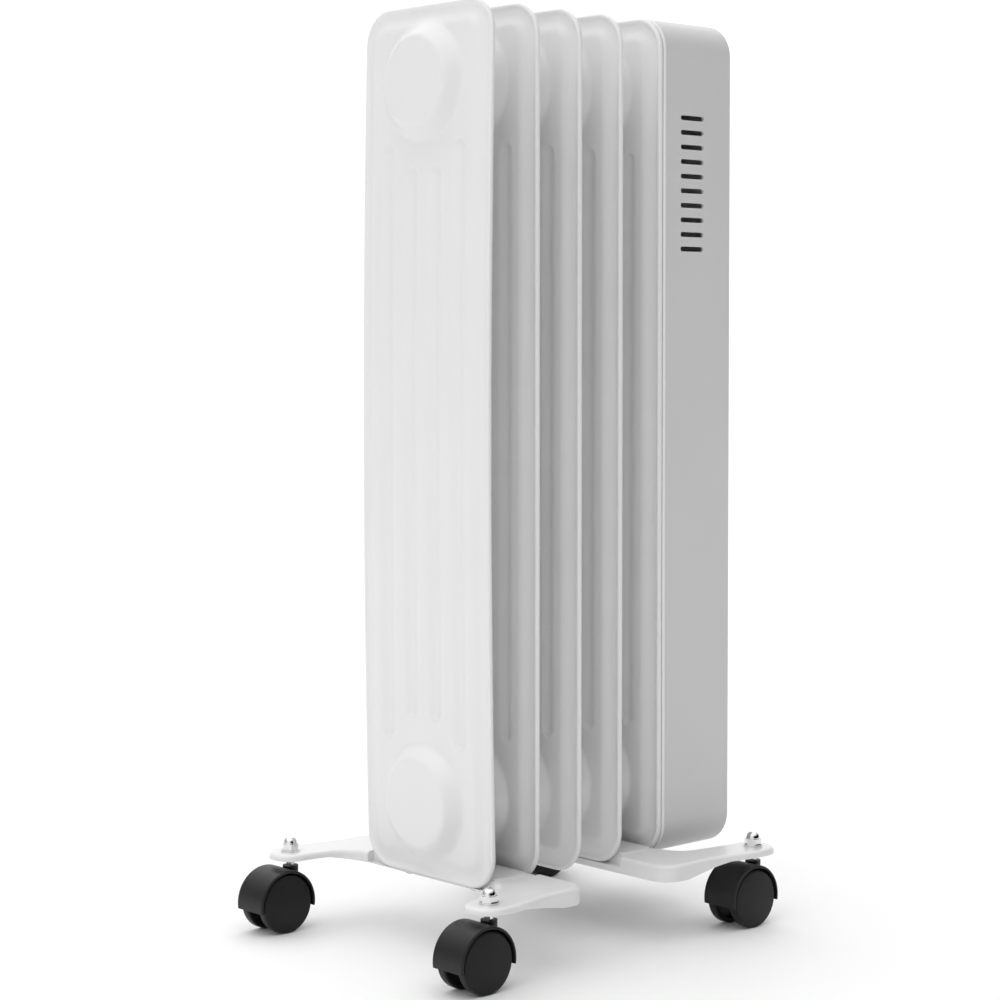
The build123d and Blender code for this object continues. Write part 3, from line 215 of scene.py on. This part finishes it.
def vary_roughness(tree, surface, source, low, high):
    """Roughness that drifts between two values."""
    spread = tree.nodes.new("ShaderNodeMapRange")
    spread.inputs["From Min"].default_value = NOISE_LOW
    spread.inputs["From Max"].default_value = NOISE_HIGH
    spread.inputs["To Min"].default_value = low
    spread.inputs["To Max"].default_value = high
    tree.links.new(source, spread.inputs["Value"])
    tree.links.new(spread.outputs["Result"], surface.inputs["Roughness"])


def bump(tree, surface, source, depth, strength=1.0):
    """Bump of a depth in metres."""
    node = tree.nodes.new("ShaderNodeBump")
    node.inputs["Strength"].default_value = strength
    node.inputs["Distance"].default_value = depth
    tree.links.new(source, node.inputs["Height"])
    tree.links.new(node.outputs["Normal"], surface.inputs["Normal"])


def enamel(name, colour, roughness, peel_scale, peel_depth, coat=0.25):
    """Stoved white enamel: faint orange peel, slight drift in tone and gloss."""
    material, tree, surface = shader(
        name, colour, roughness, coat=coat, coat_roughness=ENAMEL_COAT_ROUGHNESS
    )
    darker = tuple(c * ENAMEL_DARKER for c in colour)
    vary_colour(tree, surface, noise(tree, ENAMEL_DRIFT_SCALE), darker, colour)
    gloss = noise(tree, ENAMEL_GLOSS_SCALE)
    vary_roughness(
        tree, surface, gloss, roughness - ENAMEL_SMOOTHER, roughness + ENAMEL_ROUGHER
    )
    bump(tree, surface, noise(tree, peel_scale, detail=2.0), peel_depth)
    return material


def plastic(name, colour, roughness, grain_scale, grain_depth, specular=0.45):
    """Moulded plastic with a fine spark-eroded grain."""
    material, tree, surface = shader(name, colour, roughness)
    surface.inputs["Specular IOR Level"].default_value = specular
    lighter = tuple(min(1, c * PLASTIC_LIGHTER + PLASTIC_LIFT) for c in colour)
    vary_colour(tree, surface, noise(tree, PLASTIC_DRIFT_SCALE), colour, lighter)
    gloss = noise(tree, PLASTIC_GLOSS_SCALE)
    vary_roughness(
        tree, surface, gloss, roughness - PLASTIC_SMOOTHER, roughness + PLASTIC_ROUGHER
    )
    bump(tree, surface, noise(tree, grain_scale, detail=4.0), grain_depth)
    return material


def metal(name, colour, roughness, brush=(1, 1, 1), depth=0.00002, scale=500.0):
    """Plated or turned metal with fine marks along one direction."""
    material, tree, surface = shader(name, colour, roughness, metallic=1.0)
    darker = tuple(c * METAL_DARKER for c in colour)
    marks = noise(tree, scale, detail=3.0, stretch=brush)
    vary_colour(tree, surface, noise(tree, METAL_DRIFT_SCALE), darker, colour)
    smoothest = max(SMOOTHEST_METAL, roughness - METAL_SMOOTHER)
    vary_roughness(tree, surface, marks, smoothest, roughness + METAL_ROUGHER)
    bump(tree, surface, marks, depth)
    return material


fin_enamel = enamel("fin_enamel", (0.79, 0.79, 0.79), 0.34, 420.0, 0.00003)
# painted shade: the housing is the same white enamel as the fins and lip, darkened to 0.63 so
# the shade that falls on its sides is painted into its colour
housing_enamel = enamel("housing_enamel", (0.63, 0.63, 0.635), 0.42, 700.0, 0.00002, coat=0.1)
lip_enamel = enamel("lip_enamel", (0.80, 0.80, 0.80), 0.36, 700.0, 0.00002)
leg_enamel = enamel("leg_enamel", (0.77, 0.77, 0.77), 0.33, 520.0, 0.00003)
panel_plastic = plastic("panel_plastic", (0.76, 0.76, 0.76), 0.45, 2600.0, 0.00003)
knob_plastic = plastic("knob_plastic", (0.80, 0.80, 0.80), 0.38, 2600.0, 0.00002)
rocker_plastic = plastic("rocker_plastic", (0.02, 0.02, 0.021), 0.22, 2600.0, 0.00001)
black_plastic = plastic("black_plastic", (0.018, 0.018, 0.019), 0.5, 2600.0, 0.00004)
caster_plastic = plastic("caster_plastic", (0.007, 0.007, 0.0075), 0.4, 2600.0, 0.000012, 0.34)
wheel_plastic = plastic("wheel_plastic", (0.005, 0.005, 0.0055), 0.36, 2600.0, 0.000006, 0.25)
mark_ink = plastic("mark_ink", (0.05, 0.05, 0.055), 0.55, 2600.0, 0.00001)
chrome = metal("chrome", (0.78, 0.78, 0.79), 0.10, depth=0.000005)
zinc_plate = metal("zinc_plate", (0.60, 0.61, 0.63), 0.32, brush=(1, 1, 0.15))
brass_fitting = metal("brass_fitting", (0.70, 0.53, 0.25), 0.28, brush=(0.2, 1, 1))
element_tube = metal("element_tube", (0.33, 0.30, 0.27), 0.42, brush=(0.2, 1, 1))
red_fibre = plastic("red_fibre", (0.38, 0.06, 0.04), 0.7, 1800.0, 0.00006)
phenolic = plastic("phenolic", (0.10, 0.055, 0.03), 0.36, 1800.0, 0.00003)
lead_insulation = plastic("lead_insulation", (0.62, 0.60, 0.55), 0.62, 3200.0, 0.00005)


def lens_material():
    """Clear amber lens over the pilot lamp."""
    material, tree, surface = shader("amber_lens", (0.85, 0.27, 0.03), 0.12)
    surface.inputs["Transmission Weight"].default_value = AMBER_TRANSMISSION
    surface.inputs["IOR"].default_value = AMBER_IOR
    bump(tree, surface, noise(tree, 1500.0), 0.00002)
    return material


amber_lens = lens_material()

MATERIAL_OF_SLOT = {
    "fin_enamel": fin_enamel,
    "housing_enamel": housing_enamel,
    "leg_enamel": leg_enamel,
    "panel_plastic": panel_plastic,
    "knob_plastic": knob_plastic,
    "rocker_plastic": rocker_plastic,
    "black_plastic": black_plastic,
    "caster_plastic": caster_plastic,
    "wheel_plastic": wheel_plastic,
    "chrome": chrome,
    "zinc_plate": zinc_plate,
    "brass_fitting": brass_fitting,
    "element_tube": element_tube,
    "red_fibre": red_fibre,
    "phenolic": phenolic,
    "amber_lens": amber_lens,
    "lead_insulation": lead_insulation,
}
for part in frame["record"]["subparts"]:
    node = frame["nodes"][part["node"]]
    node.data.materials.clear()
    node.data.materials.append(MATERIAL_OF_SLOT[part["material_slot"]])


# ================================================================ fins
CORNER_R = 23 * MM
BEAD_R = 1.8 * MM
BEAD_FALL = 2.6 * MM
FLANGE = 0.9 * MM
SEAM_BORDER = 6.5 * MM
PANEL_RISE = 4 * MM
PANEL_SLOPE = 10 * MM
GROOVES = ((12 * MM, 367 * MM), (36 * MM, 400 * MM))  # distance from the middle, length
GROOVE_HALF = 8 * MM
GROOVE_END_WALL = 2.8 * MM
GROOVE_DEPTH = 2.6 * MM
HUB_OFFSET = FIN_HEIGHT / 2 - 51 * MM
HUB_BASE_R = 39 * MM
HUB_FLAT_R = 30 * MM
HUB_SOFTNESS = 1.6 * MM
HUB_BLEND = 8 * MM
END_BOW = 4.3 * MM

# the mesh is a grid over the core, then rings that close up towards the edge
CORE_INSET = 12.5 * MM
RING_INSETS_MM = (11, 9.5, 7.5, 5.5, 4.4, 3.6, 3, 2.4, 1.8, 1.3, 0.9, 0.5, 0.22, 0.05, 0)
CORE_COLUMNS = 89
DENSE_FROM = 168 * MM
DENSE_ROWS = 66
ARC_ROWS = 13
PLAIN_ROWS = 11


def outline_inset(y, z):
    """How far inside the fin's outline a point lies."""
    out_y = np.abs(y) - (FIN_WIDTH / 2 - CORNER_R)
    out_z = np.abs(z) - (FIN_HEIGHT / 2 - CORNER_R)
    outside = np.hypot(np.maximum(out_y, 0), np.maximum(out_z, 0))
    return CORNER_R - outside - np.minimum(np.maximum(out_y, out_z), 0)


def pressed_height(y, z, inset, rise):
    """Height of one pressed side above the fin's seam."""
    across = np.clip(inset, 0, BEAD_R)
    bead = np.sqrt(np.maximum(BEAD_R**2 - (across - BEAD_R) ** 2, 0))
    fall = smooth_step((inset - BEAD_R) / BEAD_FALL)
    flange = bead - (BEAD_R - FLANGE) * fall
    height = flange + (PANEL_RISE - FLANGE) * smooth_step((inset - SEAM_BORDER) / PANEL_SLOPE)
    for distance, length in GROOVES:
        across = np.clip(np.abs(np.abs(y) - distance) / GROOVE_HALF, 0, 1)
        end_z = length / 2 - GROOVE_HALF * across**2
        along = 1 - smooth_step((np.abs(z) - end_z + GROOVE_END_WALL) / GROOVE_END_WALL)
        height = height - GROOVE_DEPTH * (1 - smooth_step(across)) * along
    from_hub = np.hypot(y, np.abs(z) - HUB_OFFSET)
    slope = (rise - PANEL_RISE) / (HUB_BASE_R - HUB_FLAT_R)
    cone = PANEL_RISE + slope * (HUB_BASE_R - from_hub)
    hub = smooth_min(cone, rise, HUB_SOFTNESS)
    near_hub = from_hub < HUB_BASE_R + HUB_BLEND
    return np.where(near_hub, smooth_max(height, hub, HUB_SOFTNESS), height)


def core_rows():
    """Heights of the grid's rows: close at the hubs and groove ends, wide between them."""
    arc_r = CORNER_R - CORE_INSET
    straight = FIN_HEIGHT / 2 - CORNER_R
    upper = [straight + arc_r * math.sin(math.radians(a)) for a in np.linspace(0, 90, ARC_ROWS)]
    dense = list(np.linspace(DENSE_FROM, straight, DENSE_ROWS))[:-1]
    half = dense + upper
    middle = list(np.linspace(-DENSE_FROM, DENSE_FROM, PLAIN_ROWS))[1:-1]
    return [-z for z in reversed(half)] + middle + half


def half_width(z):
    """Half the width of the core region at a height."""
    arc_r = CORNER_R - CORE_INSET
    above = max(abs(z) - (FIN_HEIGHT / 2 - CORNER_R), 0)
    return FIN_WIDTH / 2 - CORNER_R + math.sqrt(max(arc_r**2 - above**2, 0))


def side_points():
    """Plan of one side: a core grid, then rings out. Returns points, quads and the edge ring."""
    rows = core_rows()
    columns = np.linspace(-1, 1, CORE_COLUMNS)
    grid = np.array([[(c * half_width(z), z) for c in columns] for z in rows])
    count_z, count_y = grid.shape[:2]
    points = grid.reshape(-1, 2)
    index = np.arange(count_z * count_y).reshape(count_z, count_y)
    quads = [
        (index[i, j], index[i, j + 1], index[i + 1, j + 1], index[i + 1, j])
        for i in range(count_z - 1)
        for j in range(count_y - 1)
    ]
    border = np.concatenate([index[0, :], index[1:, -1], index[-1, -2::-1], index[-2:0:-1, 0]])
    edge = points[border]
    corner = np.sign(edge) * np.minimum(
        np.abs(edge), [FIN_WIDTH / 2 - CORNER_R, FIN_HEIGHT / 2 - CORNER_R]
    )
    outward = edge - corner
    outward /= np.linalg.norm(outward, axis=1)[:, None]
    ring = border
    all_points = [points]
    total = len(points)
    for inset in RING_INSETS_MM:
        all_points.append(edge + outward * (CORE_INSET - inset * MM))
        new_ring = np.arange(total, total + len(border))
        total += len(border)
        for k in range(len(border)):
            following = (k + 1) % len(border)
            quads.append((ring[k], new_ring[k], new_ring[following], ring[following]))
        ring = new_ring
    return np.concatenate(all_points), quads, ring


plan_points, plan_quads, plan_edge = side_points()


def fin_mesh(name, front_rise, rear_rise, bow=0.0):
    """One closed fin of two pressed sides that meet in a rolled edge."""
    y = plan_points[:, 0]
    z = plan_points[:, 1]
    inset = outline_inset(y, z)
    inset[plan_edge] = 0
    front = -pressed_height(y, z, inset, front_rise)
    rear = pressed_height(y, z, inset, rear_rise)
    shift = -bow * (1 - (z / (FIN_HEIGHT / 2)) ** 2)
    count = len(y)
    front_points = np.stack([front + shift, y, z], axis=1)
    rear_points = np.stack([rear + shift, y, z], axis=1)
    on_edge = set(plan_edge.tolist())
    rear_index = {}
    kept = []
    for i in range(count):
        if i in on_edge:
            rear_index[i] = i
        else:
            rear_index[i] = count + len(kept)
            kept.append(i)
    front_points[plan_edge, 0] = shift[plan_edge]
    points = np.concatenate([front_points, rear_points[kept]])
    faces = [tuple(reversed(q)) for q in plan_quads]
    faces += [tuple(rear_index[i] for i in q) for q in plan_quads]
    return mesh_from(name, points, faces)


front_fin = fin_mesh("front_fin", END_RISE, MIDDLE_RISE, bow=END_BOW)
middle_fin = fin_mesh("middle_fin", MIDDLE_RISE, MIDDLE_RISE)
rear_fin = fin_mesh("rear_fin", MIDDLE_RISE, END_RISE)
for number, seam_x in enumerate(seams, start=1):
    mesh = {1: front_fin, FIN_COUNT: rear_fin}.get(number, middle_fin)
    fin = place(f"fin_{number}", mesh, fin_enamel, "root", (seam_x, 0, FIN_MIDDLE_Z))
    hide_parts(f"fin_{number}_front_shell", f"fin_{number}_rear_shell")


# ================================================================ housing
LIP_R = 1.25 * MM
LIP_PROUD = 0.5 * MM
LIP_SECTION_STEPS = 14
LIP_CORNER_STEPS = 20


def rolled_lip():
    """The housing's open edge, rolled over into a bead that runs all the way round."""
    low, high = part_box("control_housing")
    places, outward = rounded_outline(
        (high.y - low.y) / 2, (high.z - low.z) / 2, CORNER_R, LIP_CORNER_STEPS
    )
    middle_z = (low.z + high.z) / 2
    centres = places - (LIP_R - LIP_PROUD) * outward
    points = []
    for centre, way in zip(centres, outward):
        for turn in np.linspace(0, 2 * math.pi, LIP_SECTION_STEPS, endpoint=False):
            y, z = centre + LIP_R * math.cos(turn) * way
            points.append((low.x + LIP_R + LIP_R * math.sin(turn), y, z + middle_z))
    around = len(centres)
    faces = []
    for i in range(around):
        for k in range(LIP_SECTION_STEPS):
            here = i * LIP_SECTION_STEPS
            there = (i + 1) % around * LIP_SECTION_STEPS
            beside = (k + 1) % LIP_SECTION_STEPS
            faces.append((here + k, there + k, there + beside, here + beside))
    mesh = mesh_from("housing_lip", points, faces)
    place("housing_lip", mesh, lip_enamel, "root")


rolled_lip()


# ================================================================ caster wheels
WHEEL_SEGMENTS = 128
WHEEL_BORE_R = 2.05 * MM
WHEEL_HUB_R = 5.0 * MM
WHEEL_HUB_BORE = 6.5 * MM
WHEEL_RIM_R = 17.0 * MM
WHEEL_WEB = 4.9 * MM
WHEEL_EDGE_R = 1.4 * MM
WHEEL_DOME = 0.9 * MM
EDGE_STEPS = 8
FACE_STEPS = 14


def wheel_mesh(name, radius, depth, outward):
    """One wheel half: hollow towards the hood's web, with a domed face and rounded tread."""
    shoulder = depth - WHEEL_DOME
    face_edge_r = radius - WHEEL_EDGE_R
    profile = [
        (WHEEL_HUB_BORE, 0),
        (WHEEL_HUB_BORE, WHEEL_BORE_R),
        (0, WHEEL_BORE_R),
        (0, WHEEL_HUB_R),
        (WHEEL_WEB, WHEEL_HUB_R),
        (WHEEL_WEB, WHEEL_RIM_R),
        (0, WHEEL_RIM_R),
    ]
    profile += arc((WHEEL_EDGE_R, face_edge_r), WHEEL_EDGE_R, 180, 90, EDGE_STEPS)
    profile += arc((shoulder - WHEEL_EDGE_R, face_edge_r), WHEEL_EDGE_R, 90, 0, EDGE_STEPS)
    for part in np.linspace(1, 0, FACE_STEPS)[1:]:
        profile.append((shoulder + WHEEL_DOME * (1 - part**2), face_edge_r * part))
    return lathe(name, [(outward * y, r) for y, r in profile], WHEEL_SEGMENTS)


wheel_low, wheel_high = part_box("caster_front_left_wheel_outer")
WHEEL_R = (wheel_high.z - wheel_low.z) / 2
WHEEL_DEPTH = wheel_high.y - wheel_low.y
wheel_meshes = {
    side: wheel_mesh(f"wheel_{name}", WHEEL_R, WHEEL_DEPTH, side)
    for side, name in ((1, "left_face"), (-1, "right_face"))
}
for caster in CASTER_PLACES:
    hood_low, hood_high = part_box(f"caster_{caster}_hood")
    hood_middle_y = (hood_low.y + hood_high.y) / 2
    for side in WHEEL_SIDES:
        node = f"caster_{caster}_wheel_{side}"
        low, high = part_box(node)
        outward = 1 if (low.y + high.y) / 2 > hood_middle_y else -1
        inner_y = low.y if outward > 0 else high.y
        middle = ((low.x + high.x) / 2, inner_y, (low.z + high.z) / 2)
        wheel = place(
            f"{caster}_wheel_{side}_shape",
            wheel_meshes[outward],
            wheel_plastic,
            f"{caster}_wheel_{side}",
            middle,
        )
        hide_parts(node)


# ================================================================ dial and switch marks
MARK_HEIGHT = 0.25 * MM
MARK_SINK = 0.3 * MM
DIAL_MARK_COUNT = 10
DIAL_SWEEP = 270
DIAL_GAP = 5.2 * MM
DIAL_FIRST = 1.2 * MM
DIAL_GROWTH = 0.22 * MM
MARK_HALF_WIDTH = 0.55 * MM
MARK_END_STEPS = 7
SWITCH_MARK_BELOW = 4.5 * MM
SWITCH_MARK_HALF = 1.6 * MM


def stroke(points, faces, start, end, half_width, face_x):
    """Adds one raised stroke with round ends, between two (y, z) places on the panel."""
    start = np.array(start)
    end = np.array(end)
    heading = math.degrees(math.atan2(end[1] - start[1], end[0] - start[0]))
    outline = arc(end, half_width, heading - 90, heading + 90, MARK_END_STEPS)
    outline += arc(start, half_width, heading + 90, heading + 270, MARK_END_STEPS)
    first = len(points)
    count = len(outline)
    for x in (face_x - MARK_SINK, face_x + MARK_HEIGHT):
        points.extend((x, y, z) for y, z in outline)
    faces.append([first + k for k in range(count)])
    faces.append([first + count + k for k in range(count)])
    for k in range(count):
        beside = (k + 1) % count
        faces.append((first + k, first + beside, first + count + beside, first + count + k))


def panel_marks():
    """Raised heat scale round the dial, longer towards hot, and bars under the switches."""
    knob_low, knob_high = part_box("thermostat_knob")
    knob_y = (knob_low.y + knob_high.y) / 2
    knob_z = (knob_low.z + knob_high.z) / 2
    knob_r = (knob_high.z - knob_low.z) / 2
    panel_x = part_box("control_panel")[1].x
    points = []
    faces = []
    for n in range(DIAL_MARK_COUNT):
        turn = math.radians(90 - DIAL_SWEEP * n / (DIAL_MARK_COUNT - 1))
        way = np.array((math.cos(turn), math.sin(turn)))
        inner = np.array((knob_y, knob_z)) + (knob_r + DIAL_GAP) * way
        outer = inner + (DIAL_FIRST + DIAL_GROWTH * n) * way
        stroke(points, faces, inner, outer, MARK_HALF_WIDTH, panel_x)
    for name, strokes in (("low", 1), ("high", 2)):
        low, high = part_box(f"switch_{name}_body")
        middle_y = (low.y + high.y) / 2
        for n in range(strokes):
            y = middle_y + (n - (strokes - 1) / 2) * 2 * SWITCH_MARK_HALF
            bottom = low.z - SWITCH_MARK_BELOW
            top = bottom + 2 * SWITCH_MARK_HALF
            stroke(points, faces, (y, bottom), (y, top), MARK_HALF_WIDTH, panel_x)
    mesh = mesh_from("panel_marks", points, faces, crease=30)
    place("panel_marks", mesh, mark_ink, "root")


panel_marks()


# ================================================================ stage
# direction, the cosines where a lobe fades in and is full, and its strength
WORLD_LOBES = (
    ((0, 0, 1), 0.35, 0.9, 1.46),
    ((0.67, 0.74, 0), 0.3, 0.9, 1.1),
    ((-1, 0.1, 0.25), 0.2, 0.9, 0.57),
    ((-0.93, -0.35, 0.1), 0.72, 0.98, 0.5),
)
BACKDROP_LEVEL = 1.1
FLOOR_HALF = 6.0
CAMERA_PLACE = (-1.0994, -1.1829, 0.4093)
CAMERA_HEADING = (0.6739, 0.7388)
CAMERA_DOWN = 2.2  # degrees
VIEW_CENTRE_DOWN = 4.063  # degrees, the rest of it by shift
LENS = 84.65
SENSOR = 36
CLIP_NEAR = 0.05
CLIP_FAR = 50


def make_floor():
    """A wide pale floor."""
    signs = ((-1, -1), (1, -1), (1, 1), (-1, 1))
    corners = [(FLOOR_HALF * x, FLOOR_HALF * y, 0) for x, y in signs]
    mesh = mesh_from("floor", corners, [(0, 1, 2, 3)])
    floor = bpy.data.objects.new("floor", mesh)
    bpy.context.scene.collection.objects.link(floor)
    mesh.materials.append(shader("floor_paint", FLOOR_COLOUR, FLOOR_ROUGHNESS)[0])


def world_lobe(tree, where, direction, start, full, strength):
    """Light from one side of the surround, which fades in as the view turns towards it."""
    dot = tree.nodes.new("ShaderNodeVectorMath")
    dot.operation = "DOT_PRODUCT"
    dot.inputs[1].default_value = Vector(direction).normalized()
    spread = tree.nodes.new("ShaderNodeMapRange")
    spread.interpolation_type = "SMOOTHSTEP"
    spread.inputs["From Min"].default_value = start
    spread.inputs["From Max"].default_value = full
    spread.inputs["To Max"].default_value = strength
    tree.links.new(where.outputs["Generated"], dot.inputs[0])
    tree.links.new(dot.outputs["Value"], spread.inputs["Value"])
    return spread.outputs["Result"]


def make_world():
    """Soft studio surround, the sum of a few broad lobes."""
    world = bpy.data.worlds.new("studio")
    bpy.context.scene.world = world
    world.use_nodes = True
    tree = world.node_tree
    where = tree.nodes.new("ShaderNodeTexCoord")
    total = None
    for direction, start, full, strength in WORLD_LOBES:
        lobe = world_lobe(tree, where, direction, start, full, strength)
        if total is None:
            total = lobe
            continue
        both = tree.nodes.new("ShaderNodeMath")
        tree.links.new(total, both.inputs[0])
        tree.links.new(lobe, both.inputs[1])
        total = both.outputs[0]
    # seen directly, the surround is a seamless white backdrop on every side
    path = tree.nodes.new("ShaderNodeLightPath")
    backdrop = tree.nodes.new("ShaderNodeMath")
    backdrop.operation = "MULTIPLY"
    backdrop.inputs[1].default_value = BACKDROP_LEVEL
    tree.links.new(path.outputs["Is Camera Ray"], backdrop.inputs[0])
    shown = tree.nodes.new("ShaderNodeMath")
    shown.operation = "MAXIMUM"
    tree.links.new(total, shown.inputs[0])
    tree.links.new(backdrop.outputs[0], shown.inputs[1])
    tree.nodes["Background"].inputs["Color"].default_value = (1, 1, 1, 1)
    tree.links.new(shown.outputs[0], tree.nodes["Background"].inputs["Strength"])


def make_camera():
    """The camera at the reference viewing angle, nearly level, with a little downward shift."""
    data = bpy.data.cameras.new("camera")
    data.lens = LENS
    data.sensor_width = SENSOR
    data.shift_y = -math.tan(math.radians(VIEW_CENTRE_DOWN - CAMERA_DOWN)) * LENS / SENSOR
    data.clip_start = CLIP_NEAR
    data.clip_end = CLIP_FAR
    camera = bpy.data.objects.new("camera", data)
    bpy.context.scene.collection.objects.link(camera)
    camera.location = CAMERA_PLACE
    look = Vector((*CAMERA_HEADING, -math.tan(math.radians(CAMERA_DOWN))))
    camera.rotation_euler = look.to_track_quat("-Z", "Y").to_euler()
    bpy.context.scene.camera = camera


make_floor()
make_world()
make_camera()
bpy.context.scene.view_settings.view_transform = "Standard"
